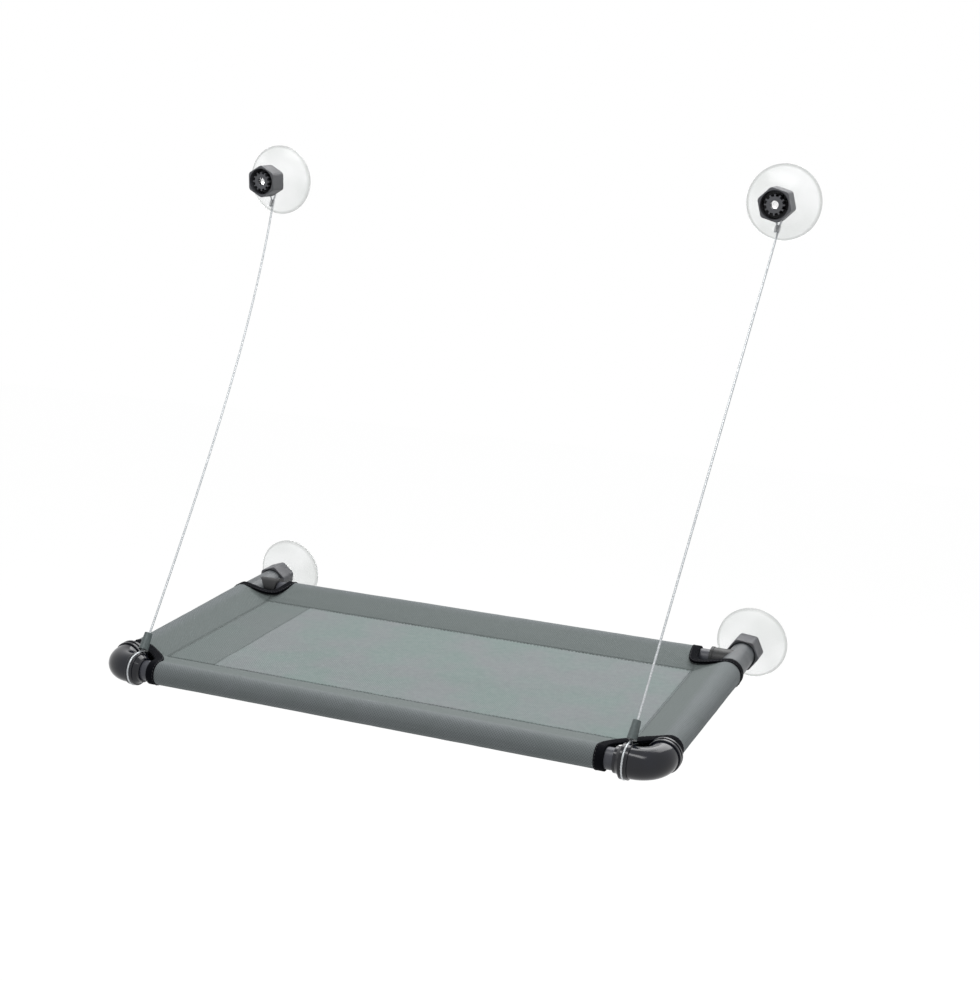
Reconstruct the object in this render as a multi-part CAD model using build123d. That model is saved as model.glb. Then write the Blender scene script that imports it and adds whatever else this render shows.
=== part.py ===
from build123d import *
from math import acos, atan2, cos, pi, radians, sin, sqrt, tan
import os

# Window mounted cat perch. A fabric bed is stretched on a frame of plastic pipe. Two suction
# cups carry the frame's rear corners, and two cables from a higher pair of cups hold its front.
# All lengths are in millimetres. X runs along the window, Y runs into the glass and Z is up.
# The origin lies on the glass, half way between the axes of the two lower cups.

os.makedirs("parts", exist_ok=True)

# Layout
lower_cup_spacing = 560.0        # between the two lower cups, and between the side rails
upper_cup_spacing = 568.0        # the upper pair is stuck on a little further apart
cup_rise = 458.0                 # upper cup axes above lower cup axes
front_reach = 344.0              # glass to the front rail's axis
rear_reach = 70.0                # glass to the rear rail's axis

# Pipe and the clearances that everything shares
pipe_diameter = 20.0
pipe_wall = 2.0
socket_clearance = 0.1           # between a pipe and the socket it is pushed into, on the radius
run_clearance = 0.07             # between a part that turns and what it turns on, on the radius
seat_gap = 0.2                   # between faces that butt together without touching
cut_over = 1.0                   # how far every cutting tool runs past the face that it cuts

# Suction cup, measured outwards from the glass
cup_radius = 37.5
rim_flat_width = 2.4
rim_edge_round = 0.8
lip_height = 1.9
hollow_depth = 3.2
boss_radius = 13.0
boss_height = 17.6
skirt_bulge = 1.3                # how far the outer skirt stands out from a straight cone
neck_radius = 7.0
post_radius = 4.0
post_tip_round = 1.6
post_setback = 4.5               # the post ends this far behind the front of the nut's hub

# Deep hexagonal nut
nut_across_flats = 30.6
nut_length = 22.8
nut_corner_round = 4.2
nut_edge_round = 0.8
recess_wall = 1.3                # the wall left round the recess, at the middle of a flat
recess_depth = 16.0
hub_core_radius = 7.9
hub_setback = 0.8
hub_rib_count = 12
hub_rib_width = 1.5
nut_turn_upper_left = 30.0       # how the corners happen to lie, in degrees
nut_turn_upper_right = 44.0
nut_turn_lower_left = 19.0
nut_turn_lower_right = -6.0

# Rear tee
tee_wall = 2.8
tee_front_leg = 26.0
tee_branch = 26.0
tee_stop = 13.0                  # centre to the shoulder that stops a pipe
tee_bead_width = 3.0
tee_bead_height = 0.6
tee_in_nut = 10.2                # how far the rear leg reaches into the recess of the nut

# Front elbow
elbow_body_radius = 14.4
elbow_bend_radius = 20.0
elbow_stop = 21.0                # corner to the shoulder that stops a pipe
elbow_leg = 36.0
elbow_mouth_length = 2.6
elbow_mouth_wall = 1.8
collar_station = 26.0            # corner to the middle of the cable collar
collar_width = 8.0
collar_height = 1.5
collar_edge_round = 0.6
waterway_radius = 8.2            # the passage left open behind every shoulder

# Cable and the two kinds of ferrule
cable_diameter = 2.2
groove_clearance = 0.15
groove_depth = 1.8
neck_clearance = 0.35
loop_side_clearance = 0.7
strand_gap = 0.4                 # between the two strands inside a ferrule
ferrule_clearance = 0.1
entry_bend_radius = 2.6          # where a strand turns into its ferrule
loop_corner_count = 8
loop_fillet_share = 0.97
bow_fillet_share = 0.45
upper_entry_drop = 20.6          # cup axis to the point where the strands come together
upper_ferrule_length = 6.5
upper_ferrule_wall = 0.6
lower_entry_distance = 17.8      # collar centre to the point where the strands come together
lower_ferrule_length = 17.5
lower_ferrule_wide = 10.8
lower_ferrule_narrow = 8.6
lower_ferrule_flatness_share = 0.86
left_cable_bow = 15.5            # how far the slack left cable hangs away from a straight line
left_cable_bow_shares = [
    (0.09, 0.44), (0.19, 0.77), (0.30, 0.96), (0.41, 1.0), (0.53, 0.93), (0.65, 0.77), (0.77, 0.54),
    (0.89, 0.27),
]

# Bed
fabric_thickness = 0.9
fabric_slack = 0.3               # between the fabric and the pipe inside it
stitch_width = 8.0
long_pocket_reach = 40.0         # rail axis to the seam, on the front and rear pockets
side_pocket_reach = 33.5
front_pocket_end = 43.0          # side rail axis to the open end of the front pocket
side_pocket_front_end = 36.8     # front rail axis to the front end of a side pocket's tape
side_pocket_rear_end = 16.0      # rear rail axis to the rear end of a side pocket's tape
flare_length = 12.0              # where a side pocket widens to pass over the tee
corner_ease_length = 30.0        # where the rear pocket's stitched edge widens towards its ends
binding_width = 8.5
binding_extra = 0.7              # the tape stands this far outside the fabric
corner_tape_overlap = 3.2        # the front corners' tape reaches this far over the front seam
left_hem_width = 56.0            # the second layer of fabric along the left seam

# Values worked out from the sizes above
half_width = lower_cup_spacing / 2
pipe_radius = pipe_diameter / 2
socket_radius = pipe_radius + socket_clearance
cable_radius = cable_diameter / 2
neck_top = boss_height + cable_diameter + 2 * loop_side_clearance
nut_back = neck_top + seat_gap
nut_front = nut_back + nut_length
hub_front = nut_front - hub_setback
post_tip = hub_front - post_setback
hub_rib_radius = socket_radius - run_clearance
post_hole_radius = post_radius + run_clearance
tee_radius = socket_radius + tee_wall
tee_rear_leg = rear_reach - nut_front + tee_in_nut
collar_radius = elbow_body_radius + collar_height
lower_loop_radius = collar_radius - groove_depth + groove_clearance + cable_radius
upper_loop_radius = neck_radius + neck_clearance + cable_radius
upper_loop_plane = boss_height + loop_side_clearance + cable_radius
strand_offset = cable_radius + strand_gap / 2
pocket_inner_radius = pipe_radius + fabric_slack
flare_inner_radius = tee_radius + fabric_slack
side_seam_x = half_width - side_pocket_reach
front_seam_y = -front_reach + long_pocket_reach
rear_seam_y = -rear_reach - long_pocket_reach
front_tape_x = half_width - front_pocket_end
front_cloth_x = front_tape_x - binding_width
rear_cloth_x = side_seam_x - binding_width
side_tape_front_y = -front_reach + side_pocket_front_end
side_cloth_front_y = side_tape_front_y + binding_width
side_tape_rear_y = -rear_reach - side_pocket_rear_end
side_cloth_rear_y = side_tape_rear_y - binding_width
corner_stitch_width = long_pocket_reach - side_pocket_rear_end

SIDES = {"left": -1, "right": 1}


def revolve_outline(edges):
    """Turn an outline of (radius, height) points into a solid of revolution about Z."""
    return revolve(Plane.XZ * make_face(edges), Axis.Z)


def from_glass(solid, x, z):
    """Stand a solid that was made along +Z on the glass, so that it points into the room."""
    return Plane(origin=(x, 0, z), x_dir=(1, 0, 0), z_dir=(0, -1, 0)).location * solid


def tube_along(path, radius):
    """A round bar that follows a path."""
    section = Plane(origin=path @ 0, z_dir=path % 0) * Circle(radius)
    return sweep(section, path=path)


def bar_between(start, end, radius):
    """A straight round bar from one point to another."""
    line = Line(start, end)
    return tube_along(line, radius)


def save(name, solid):
    """Write one node."""
    export_step(solid, f"parts/{name}.step")


# Suction cup: a clear moulding of rim, skirt, boss, neck and post in one piece.
def suction_cup():
    rim_inner = (cup_radius - rim_flat_width, 0)
    rim_outer = (cup_radius - rim_edge_round, 0)
    edge_top = (cup_radius, rim_edge_round)
    lip_top = (cup_radius, lip_height)
    skirt_top = (boss_radius, boss_height - lip_height)
    middle = ((lip_top[0] + skirt_top[0]) / 2, (lip_top[1] + skirt_top[1]) / 2 + skirt_bulge)
    tip_side = (post_radius, post_tip - post_tip_round)
    tip_end = (post_radius - post_tip_round, post_tip)
    edges = Curve() + [
        TangentArc((0, hollow_depth), rim_inner, tangent=(1, 0)),
        Line(rim_inner, rim_outer),
        TangentArc(rim_outer, edge_top, tangent=(1, 0)),
        Line(edge_top, lip_top),
        ThreePointArc(lip_top, middle, skirt_top),
        Polyline(skirt_top, (boss_radius, boss_height), (neck_radius, boss_height),
                 (neck_radius, neck_top), (post_radius, neck_top), tip_side),
        TangentArc(tip_side, tip_end, tangent=(0, 1)),
        Polyline(tip_end, (0, post_tip), (0, hollow_depth)),
    ]
    return revolve_outline(edges)


# Nut: a hexagonal shell round a deep round recess, with a ribbed hub standing in the middle. The
# hub screws on to the cup's post, and on the lower pair it also fills the end of the tee.
def rounded_hexagon(across_flats, corner_round, turn):
    outline = RegularPolygon(across_flats / 2, 6, major_radius=False, rotation=turn)
    return fillet(outline.vertices(), corner_round)


def hex_nut(turn):
    body = extrude(rounded_hexagon(nut_across_flats, nut_corner_round, turn), nut_length)
    ends = body.faces().sort_by(Axis.Z)
    body = fillet(ends[0].edges() + ends[-1].edges(), nut_edge_round)
    recess_outline = Circle(nut_across_flats / 2 - recess_wall)
    recess = Pos(0, 0, nut_length - recess_depth) * extrude(recess_outline, recess_depth + cut_over)
    rib_length = hub_rib_radius + cut_over
    ribs = [Rot(0, 0, i * 360 / hub_rib_count) * Pos(rib_length / 2, 0) * Rectangle(rib_length, hub_rib_width)
            for i in range(hub_rib_count)]
    hub_outline = Circle(hub_core_radius) + (Sketch() + ribs) & Circle(hub_rib_radius)
    hub = extrude(hub_outline, nut_length - hub_setback)
    hole = Pos(0, 0, -cut_over) * Cylinder(post_hole_radius, nut_length + 2 * cut_over,
                                           align=(Align.CENTER, Align.CENTER, Align.MIN))
    return Pos(0, 0, nut_back) * ((body - recess) + hub - hole)


def leg_at(origin, direction, solid):
    """Place a leg that was made along +Z so that it leaves a corner in a direction."""
    return Plane(origin=origin, z_dir=direction).location * solid


def plain_bar(radius, start, end):
    """A cylinder on the Z axis between two heights."""
    return Pos(0, 0, start) * Cylinder(radius, end - start, align=(Align.CENTER, Align.CENTER, Align.MIN))


# Tee for a rear corner: the run carries the side rail in front and the nut's hub behind, and
# the branch carries the rear rail.
def rear_tee(side):
    centre = (side * half_width, -rear_reach, 0)
    legs = [((0, 1, 0), tee_rear_leg), ((0, -1, 0), tee_front_leg), ((-side, 0, 0), tee_branch)]
    outside = Part()
    inside = Part()
    for direction, length in legs:
        outside += leg_at(centre, direction, plain_bar(tee_radius, 0, length))
        inside += leg_at(centre, direction, plain_bar(socket_radius, tee_stop, length + cut_over))
        inside += leg_at(centre, direction, plain_bar(waterway_radius, 0, length))
    bead = plain_bar(tee_radius + tee_bead_height, tee_branch - tee_bead_width, tee_branch)
    bead = fillet(bead.edges().filter_by(GeomType.CIRCLE), tee_bead_height / 2)
    outside += leg_at(centre, (-side, 0, 0), bead)
    return outside - inside


# Elbow for a front corner. A raised collar on each leg has a groove that seats a cable loop,
# and each leg narrows in a cone to its mouth.
def front_elbow(side):
    corner = (side * half_width, -front_reach, 0)
    collar_low = collar_station - collar_width / 2
    collar_high = collar_station + collar_width / 2
    mouth_radius = socket_radius + elbow_mouth_wall
    body = plain_bar(elbow_body_radius, elbow_bend_radius, collar_high)
    collar = plain_bar(collar_radius, collar_low, collar_high)
    collar = fillet(collar.edges().filter_by(GeomType.CIRCLE), collar_edge_round)
    cone_length = elbow_leg - elbow_mouth_length - collar_high
    cone = Pos(0, 0, collar_high) * Cone(elbow_body_radius, mouth_radius, cone_length,
                                         align=(Align.CENTER, Align.CENTER, Align.MIN))
    mouth = plain_bar(mouth_radius, elbow_leg - elbow_mouth_length, elbow_leg)
    groove_half = cable_radius + groove_clearance
    groove = Pos(0, 0, collar_station) * Torus(lower_loop_radius, groove_half)
    groove += (plain_bar(collar_radius + cut_over, collar_station - groove_half, collar_station + groove_half)
               - plain_bar(lower_loop_radius, collar_low, collar_high))
    leg = body + collar + cone + mouth - groove
    bore = plain_bar(socket_radius, elbow_stop, elbow_leg + cut_over)
    passage = plain_bar(waterway_radius, elbow_bend_radius, elbow_leg)
    solid = Part()
    for direction in ((-side, 0, 0), (0, 1, 0)):
        solid += leg_at(corner, direction, leg - bore - passage)
    bend_centre = (corner[0] - side * elbow_bend_radius, corner[1] + elbow_bend_radius, 0)
    bend_plane = Plane(origin=(bend_centre[0], corner[1], 0), x_dir=(0, 1, 0), z_dir=(side, 0, 0))
    ring = bend_plane * (Circle(elbow_body_radius) - Circle(waterway_radius))
    bend = revolve(ring, Axis(bend_centre, (0, 0, side)), 90)
    return solid + bend


# Rails: four lengths of pipe whose ends rest just short of the shoulders in their sockets.
def rail(start, end):
    outer = bar_between(start, end, pipe_radius)
    inner = bar_between(start, end, pipe_radius - pipe_wall)
    return outer - inner


def all_rails():
    front_end = half_width - elbow_stop - seat_gap
    rear_end = half_width - tee_stop - seat_gap
    side_front = -front_reach + elbow_stop + seat_gap
    side_rear = -rear_reach - tee_stop - seat_gap
    rails = {
        "front_rail": rail((-front_end, -front_reach, 0), (front_end, -front_reach, 0)),
        "rear_rail": rail((-rear_end, -rear_reach, 0), (rear_end, -rear_reach, 0)),
    }
    for name, side in SIDES.items():
        x = side * half_width
        rails[f"{name}_rail"] = rail((x, side_front, 0), (x, side_rear, 0))
    return rails


# A pocket is cloth wrapped round a rail and stitched to itself at the seam, so its section is
# a drop: round outside the rail, and tapering inwards to a flat stitched edge.
def drop_outline(radius, reach, half_tip, flat):
    tip = (reach - flat, half_tip)
    spread = sqrt(tip[0] ** 2 + tip[1] ** 2)
    angle = atan2(tip[1], tip[0]) + acos(radius / spread)
    touch = (radius * cos(angle), radius * sin(angle))
    upper = [Line(tip, touch)]
    lower = [Line((touch[0], -touch[1]), (tip[0], -tip[1]))]
    if flat > 0:
        upper = [Line((reach, half_tip), tip)] + upper
        lower = lower + [Line((tip[0], -tip[1]), (reach, -half_tip))]
    closing = [Line((reach, -half_tip), (reach, half_tip))]
    round_side = [ThreePointArc(touch, (-radius, 0), (touch[0], -touch[1]))]
    return make_face(Curve() + upper + round_side + lower + closing)


def drop_section(plane, inner_radius, thickness, reach, flat):
    """The outer and the inner outline of a pocket, on a plane across the rail."""
    outer = drop_outline(inner_radius + thickness, reach, fabric_thickness, flat)
    inner = drop_outline(inner_radius, reach - flat, fabric_thickness / 3, 0)
    return plane * outer, plane * inner


def drop_tube(sections, thickness, reach):
    """A pocket, open at both ends, through sections of (plane, inner radius, stitched width)."""
    faces = [drop_section(plane, radius, thickness, reach, flat) for plane, radius, flat in sections]
    solid = Part()
    for (outer, inner), (next_outer, next_inner) in zip(faces, faces[1:]):
        solid += loft([outer, next_outer], ruled=True) - loft([inner, next_inner], ruled=True)
    return solid


def long_plane(x, y, towards_rear):
    """A plane across the front or rear rail, with its first axis pointing at the seam."""
    step = 1 if towards_rear else -1
    return Plane(origin=(x, y, 0), x_dir=(0, step, 0), z_dir=(step, 0, 0))


def side_plane(side, y):
    """A plane across a side rail, with its first axis pointing at the seam."""
    return Plane(origin=(side * half_width, y, 0), x_dir=(-side, 0, 0), z_dir=(0, side, 0))


def all_pockets():
    pockets = {}
    for name, y, limit, towards_rear, end_flat in (
            ("front_pocket", -front_reach, front_cloth_x, True, stitch_width),
            ("rear_pocket", -rear_reach, rear_cloth_x, False, corner_stitch_width)):
        eased = limit - corner_ease_length
        stations = [(-limit, end_flat), (-eased, stitch_width), (eased, stitch_width), (limit, end_flat)]
        sections = [(long_plane(x, y, towards_rear), pocket_inner_radius, flat) for x, flat in stations]
        pockets[name] = drop_tube(sections, fabric_thickness, long_pocket_reach)
    flare_end = -rear_reach - tee_front_leg - seat_gap
    flare_start = flare_end - flare_length
    for name, side in SIDES.items():
        stations = [(side_cloth_front_y, pocket_inner_radius), (flare_start, pocket_inner_radius),
                    (flare_end, flare_inner_radius), (side_cloth_rear_y, flare_inner_radius)]
        sections = [(side_plane(side, y), radius, stitch_width) for y, radius in stations]
        pockets[f"{name}_pocket"] = drop_tube(sections, fabric_thickness, side_pocket_reach)
    return pockets


def slab(x0, x1, y0, y1, z0, z1):
    """A box between two corners, whichever way round they are given."""
    size = (abs(x1 - x0), abs(y1 - y0), abs(z1 - z0))
    return Pos((x0 + x1) / 2, (y0 + y1) / 2, (z0 + z1) / 2) * Box(*size)


# Black tape binds the cloth where its corners are cut out: round the open end of each pocket
# and across the corner between them.
def corner_binding(side, front):
    thick = fabric_thickness + binding_extra
    y_long = -front_reach if front else -rear_reach
    x_cloth = side * (front_cloth_x if front else rear_cloth_x)
    x_tape = side * (front_tape_x if front else side_seam_x)
    y_cloth = side_cloth_front_y if front else side_cloth_rear_y
    y_tape = side_tape_front_y if front else side_tape_rear_y
    long_flat = stitch_width if front else corner_stitch_width
    side_radius = pocket_inner_radius if front else flare_inner_radius
    long_sections = [(long_plane(x, y_long, front), pocket_inner_radius, long_flat)
                     for x in (x_cloth, x_tape)]
    side_sections = [(side_plane(side, y), side_radius, stitch_width) for y in (y_cloth, y_tape)]
    solid = drop_tube(long_sections, thick, long_pocket_reach)
    solid += drop_tube(side_sections, thick, side_pocket_reach)
    if front:
        corner_front_y = front_seam_y - corner_tape_overlap
        solid += slab(x_cloth, side * side_seam_x, y_cloth, corner_front_y,
                      -fabric_thickness, fabric_thickness)
    return solid


# Panel: one layer of open mesh between the four seams, cut out at the front corners.
def bed_panel():
    half = fabric_thickness / 2
    panel = slab(-side_seam_x, side_seam_x, front_seam_y, rear_seam_y, -half, half)
    for side in SIDES.values():
        corner = slab(side * front_cloth_x, side * (side_seam_x + cut_over),
                      front_seam_y - cut_over, side_cloth_front_y, -cut_over, cut_over)
        panel -= corner
    return panel


def left_hem():
    """The wide turned-under edge of the cloth along the left seam, below the panel."""
    half = fabric_thickness / 2
    return slab(-side_seam_x, -side_seam_x + left_hem_width, side_cloth_front_y, rear_seam_y,
                -half - fabric_thickness, -half)


# Cable. Each one is a single wire: it comes out of the upper ferrule, goes round the neck of the
# cup, passes back through the ferrule, runs down to the elbow and is looped there in the same way.
def loop_corners(centre, way, across, radius, entry_distance):
    """Corner points that take a strand round a circle, from the across side to the other."""
    tangent_angle = acos(radius / entry_distance)
    step = 2 * (pi - tangent_angle) / loop_corner_count
    corner_radius = radius / cos(step / 2)
    corners = []
    for i in range(loop_corner_count):
        angle = tangent_angle + (i + 1 / 2) * step
        corners.append(centre + way * (corner_radius * cos(angle)) + across * (corner_radius * sin(angle)))
    return corners


def bowed_points(start, end, bow, bow_shares):
    """Points of a slack stretch: it hangs off the straight line in the upright plane through both ends."""
    chord = end - start
    level = chord.cross(Vector(0, 0, 1))
    sag_way = chord.cross(level).normalized()
    if sag_way.Z > 0:
        sag_way = sag_way * -1
    return [start + chord * along + sag_way * (bow * depth) for along, depth in bow_shares]


def turn_at(before, here, after):
    return radians((here - before).get_angle(after - here))


def sleeve(start, way, across, length, wide_start, wide_end, flatness):
    """A ferrule: an oval sleeve that runs along a strand, drilled for it and for the one beside it."""
    middle = start - across * strand_offset
    ends = [Plane(origin=middle, x_dir=across, z_dir=way),
            Plane(origin=middle + way * length, x_dir=across, z_dir=way)]
    wides = (wide_start, wide_end)
    body = loft([plane * Ellipse(wide / 2, wide / 2 * flatness) for plane, wide in zip(ends, wides)])
    for sign in (-1, 1):
        begin = middle + across * (sign * strand_offset) - way * cut_over
        body -= bar_between(begin, begin + way * (length + 2 * cut_over), cable_radius + ferrule_clearance)
    return body


def cable_set(name, side):
    """One cable with both its loops, and the two ferrules that hold them."""
    x_way = Vector(1, 0, 0)
    neck = Vector(side * upper_cup_spacing / 2, -upper_loop_plane, cup_rise)
    collar = Vector(side * (half_width - collar_station), -front_reach, 0)
    rise = neck - collar
    lower_way = Vector(0, rise.Y, rise.Z).normalized()
    lower_across = lower_way.cross(x_way).normalized()
    upper_way = Vector(0, 0, -1)
    upper_entry = neck + upper_way * upper_entry_drop
    lower_entry = collar + lower_way * lower_entry_distance
    upper_live = upper_entry + x_way * strand_offset
    lower_live = lower_entry + lower_across * strand_offset
    free_points = []
    if side < 0:
        free_points = bowed_points(upper_live, lower_live, left_cable_bow, left_cable_bow_shares)
    run = [upper_live] + free_points + [lower_live]

    upper_corners = loop_corners(neck, upper_way, x_way, upper_loop_radius, upper_entry_drop)
    lower_corners = loop_corners(collar, lower_way, lower_across, lower_loop_radius, lower_entry_distance)
    down = (run[1] - run[0]).normalized()
    up = (run[-2] - run[-1]).normalized()
    upper_gap = entry_bend_radius * tan(turn_at(upper_corners[0], run[0], run[1]) / 2) + strand_gap
    lower_gap = entry_bend_radius * tan(turn_at(lower_corners[0], run[-1], run[-2]) / 2) + strand_gap
    upper_dead = upper_live - x_way * (2 * strand_offset)
    lower_dead = lower_live - lower_across * (2 * strand_offset)
    dead_ends = [upper_dead + down * (upper_gap + upper_ferrule_length),
                 lower_dead + up * (lower_gap + lower_ferrule_length)]
    route = ([dead_ends[0], upper_dead] + upper_corners[::-1] + run + lower_corners
             + [lower_dead, dead_ends[1]])

    bow_bends = []
    for before, here, after in zip(run, run[1:], run[2:]):
        shorter = min((here - before).length, (after - here).length)
        bow_bends.append(bow_fillet_share * shorter / tan(turn_at(before, here, after) / 2))
    bends = [entry_bend_radius]
    bends += [upper_loop_radius * loop_fillet_share] * loop_corner_count
    bends += [entry_bend_radius] + bow_bends + [entry_bend_radius]
    bends += [lower_loop_radius * loop_fillet_share] * loop_corner_count
    bends += [entry_bend_radius]
    path = FilletPolyline(*route, radius=bends)
    cable = tube_along(path, cable_radius)
    print(name, "cable length", round(path.length, 1), "bend radii", [round(b, 1) for b in bends])
    print("volume over section times length", round(cable.volume / (pi * cable_radius ** 2 * path.length), 4))

    upper_wide = 2 * (strand_offset + cable_radius + upper_ferrule_wall)
    upper_flatness = (cable_radius + upper_ferrule_wall) * 2 / upper_wide
    return {
        f"{name}_cable": cable,
        f"upper_{name}_ferrule": sleeve(upper_live + down * upper_gap, down, x_way, upper_ferrule_length,
                                        upper_wide, upper_wide, upper_flatness),
        f"lower_{name}_ferrule": sleeve(lower_live + up * lower_gap, up, lower_across, lower_ferrule_length,
                                        lower_ferrule_wide, lower_ferrule_narrow,
                                        lower_ferrule_flatness_share),
    }


def main():
    cup = suction_cup()
    places = {}
    for name, side in SIDES.items():
        places[f"upper_{name}"] = (side * upper_cup_spacing / 2, cup_rise)
        places[f"lower_{name}"] = (side * half_width, 0)
    turns = {
        "upper_left": nut_turn_upper_left,
        "upper_right": nut_turn_upper_right,
        "lower_left": nut_turn_lower_left,
        "lower_right": nut_turn_lower_right,
    }
    for name, (x, z) in places.items():
        save(f"{name}_cup", from_glass(cup, x, z))
        save(f"{name}_nut", from_glass(hex_nut(turns[name]), x, z))
    for name, side in SIDES.items():
        save(f"rear_{name}_tee", rear_tee(side))
        save(f"front_{name}_elbow", front_elbow(side))
        save(f"front_{name}_binding", corner_binding(side, True))
        save(f"rear_{name}_binding", corner_binding(side, False))
        for node, solid in cable_set(name, side).items():
            save(node, solid)
    for node, solid in (all_rails() | all_pockets()).items():
        save(node, solid)
    save("bed_panel", bed_panel())
    save("left_hem", left_hem())


main()
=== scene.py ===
# %% [markdown]
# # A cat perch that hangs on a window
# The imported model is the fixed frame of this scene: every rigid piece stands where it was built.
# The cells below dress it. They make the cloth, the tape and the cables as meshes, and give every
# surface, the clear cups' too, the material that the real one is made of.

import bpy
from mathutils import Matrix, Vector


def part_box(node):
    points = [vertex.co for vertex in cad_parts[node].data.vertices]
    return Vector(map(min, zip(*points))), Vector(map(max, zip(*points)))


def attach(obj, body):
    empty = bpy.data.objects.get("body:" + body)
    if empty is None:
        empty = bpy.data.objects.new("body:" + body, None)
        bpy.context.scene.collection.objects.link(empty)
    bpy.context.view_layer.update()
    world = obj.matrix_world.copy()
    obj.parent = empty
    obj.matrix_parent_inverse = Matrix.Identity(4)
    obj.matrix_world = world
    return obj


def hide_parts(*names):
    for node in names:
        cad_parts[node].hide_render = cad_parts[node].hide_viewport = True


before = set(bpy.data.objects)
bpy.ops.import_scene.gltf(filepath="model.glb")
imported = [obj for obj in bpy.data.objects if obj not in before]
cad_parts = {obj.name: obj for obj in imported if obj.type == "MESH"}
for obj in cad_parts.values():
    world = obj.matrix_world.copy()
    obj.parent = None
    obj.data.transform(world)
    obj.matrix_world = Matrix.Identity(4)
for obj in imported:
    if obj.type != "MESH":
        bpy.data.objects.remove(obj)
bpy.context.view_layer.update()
print("pieces in the frame:", len(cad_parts))

# %% [markdown]
# ## Tools for the whole scene
# Sizes are written in millimetres, as on a drawing, and turned to metres where a point is made.
# One function turns a hex colour to the linear values that shaders expect, and one adds a node to a
# tree with its settings and links. The others put an object into the scene, make a mesh from points,
# join rows of points with faces, and clean a mesh up.

# %% Imports and small helpers
from math import acos, atan2, cos, pi, sin, sqrt

import bmesh
import bpy
import numpy as np
from mathutils import Matrix, Vector, noise

MM = 0.001
touching = 0.0001              # points this near each other, in millimetres, are one point


def linear(hex_colour):
    """Turn a colour such as 7f8c8d from sRGB to linear red, green, blue and alpha."""
    channels = [int(hex_colour[i:i + 2], 16) / 255 for i in (0, 2, 4)]
    return [c / 12.92 if c <= 0.04045 else ((c + 0.055) / 1.055) ** 2.4 for c in channels] + [1.0]


def add_node(tree, kind, settings=None, values=None, links=None):
    """Add a node: settings are its own fields, values fill its inputs and links feed them."""
    made = tree.nodes.new(kind)
    for field, value in (settings or {}).items():
        setattr(made, field, value)
    for socket, value in (values or {}).items():
        made.inputs[socket].default_value = value
    for socket, source in (links or {}).items():
        tree.links.new(source, made.inputs[socket])
    return made


def add_object(name, data):
    """Put a new object with this data into the scene."""
    made = bpy.data.objects.new(name, data)
    bpy.context.scene.collection.objects.link(made)
    return made


def mesh_object(name, points, faces, smooth=True):
    """Make an object whose mesh has these points, in millimetres, and these faces."""
    mesh = bpy.data.meshes.new(name)
    mesh.from_pydata([tuple(c * MM for c in p) for p in points], [], faces)
    mesh.validate()
    if smooth:
        mesh.polygons.foreach_set("use_smooth", [True] * len(mesh.polygons))
    return add_object(name, mesh)


def grid_faces(rows, columns, wrap=False, start=0):
    """Quads over rows of points, and from the last column back to the first where they wrap."""
    across = columns if wrap else columns - 1
    return [(start + i * columns + j, start + i * columns + (j + 1) % columns,
             start + (i + 1) * columns + (j + 1) % columns, start + (i + 1) * columns + j)
            for i in range(rows - 1) for j in range(across)]


def merge_points(piece, distance, turn_out=False):
    """Merge points that are this near each other, and turn every face outwards if asked."""
    work = bmesh.new()
    work.from_mesh(piece.data)
    bmesh.ops.remove_doubles(work, verts=work.verts, dist=distance * MM)
    if turn_out:
        bmesh.ops.recalc_face_normals(work, faces=work.faces)
    work.to_mesh(piece.data)
    work.free()


def centre(node):
    """Middle of a node's box, in millimetres."""
    low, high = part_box(node)
    return [(a + b) / 2 / MM for a, b in zip(low, high)]


def extent(node):
    """Width, depth and height of a node's box, in millimetres."""
    low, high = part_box(node)
    return [(b - a) / MM for a, b in zip(low, high)]


print("helpers ready")

# %% [markdown]
# ## Camera
# The camera stands where the photograph was taken from: in front of the perch, to its right and a
# little above the bed. Its place and lens come from matching the cups and the corners of the bed.

# %% Camera
camera_place = (620.9, -1529.5, 561.9)
camera_yaw, camera_pitch, camera_roll = 0.399, -0.255, -0.018
image_width = 980
focal_pixels = 1545.7
sensor_width = 36.0

camera_data = bpy.data.cameras.new("camera")
camera_data.sensor_fit = "HORIZONTAL"
camera_data.sensor_width = sensor_width
camera_data.lens = focal_pixels * sensor_width / image_width
camera = add_object("camera", camera_data)
turn = (Matrix.Rotation(camera_yaw, 4, "Z") @ Matrix.Rotation(camera_pitch, 4, "X")
        @ Matrix.Rotation(camera_roll, 4, "Y") @ Matrix.Rotation(pi / 2, 4, "X"))
camera.matrix_world = Matrix.Translation(Vector(camera_place) * MM) @ turn
bpy.context.scene.camera = camera
print("lens", round(camera_data.lens, 2), "mm")

# %% [markdown]
# ## Where things are
# The rails, cups and elbows already have their places in the frame, so the cloth and the cables
# read them from there. What the frame can't tell, such as where a seam runs, is a named size.

# %% Sizes taken from the frame
front_axis = centre("front_rail")[1]
rear_axis = centre("rear_rail")[1]
side_axis = centre("right_rail")[0]
tee_bead_height = 0.6          # a low ring round the mouth of the tee's leg
tee_radius = extent("rear_right_tee")[2] / 2 - tee_bead_height
upper_cup_x = centre("upper_right_cup")[0]
upper_cup_z = centre("upper_right_cup")[2]
cup_radius = extent("upper_right_cup")[0] / 2
SIDES = {"left": -1, "right": 1}
print("rails at", [round(value) for value in (front_axis, rear_axis, side_axis)],
      "upper cups at", [round(value) for value in (upper_cup_x, upper_cup_z)])

# %% [markdown]
# ## Materials
# Every surface gets the material of the real thing, with its pattern at its real size. Colours
# are written as they look in even light. Patterns on the rigid pieces read object coordinates,
# which are metres in the frame, and cloth and tape read their own weave coordinates.

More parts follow.
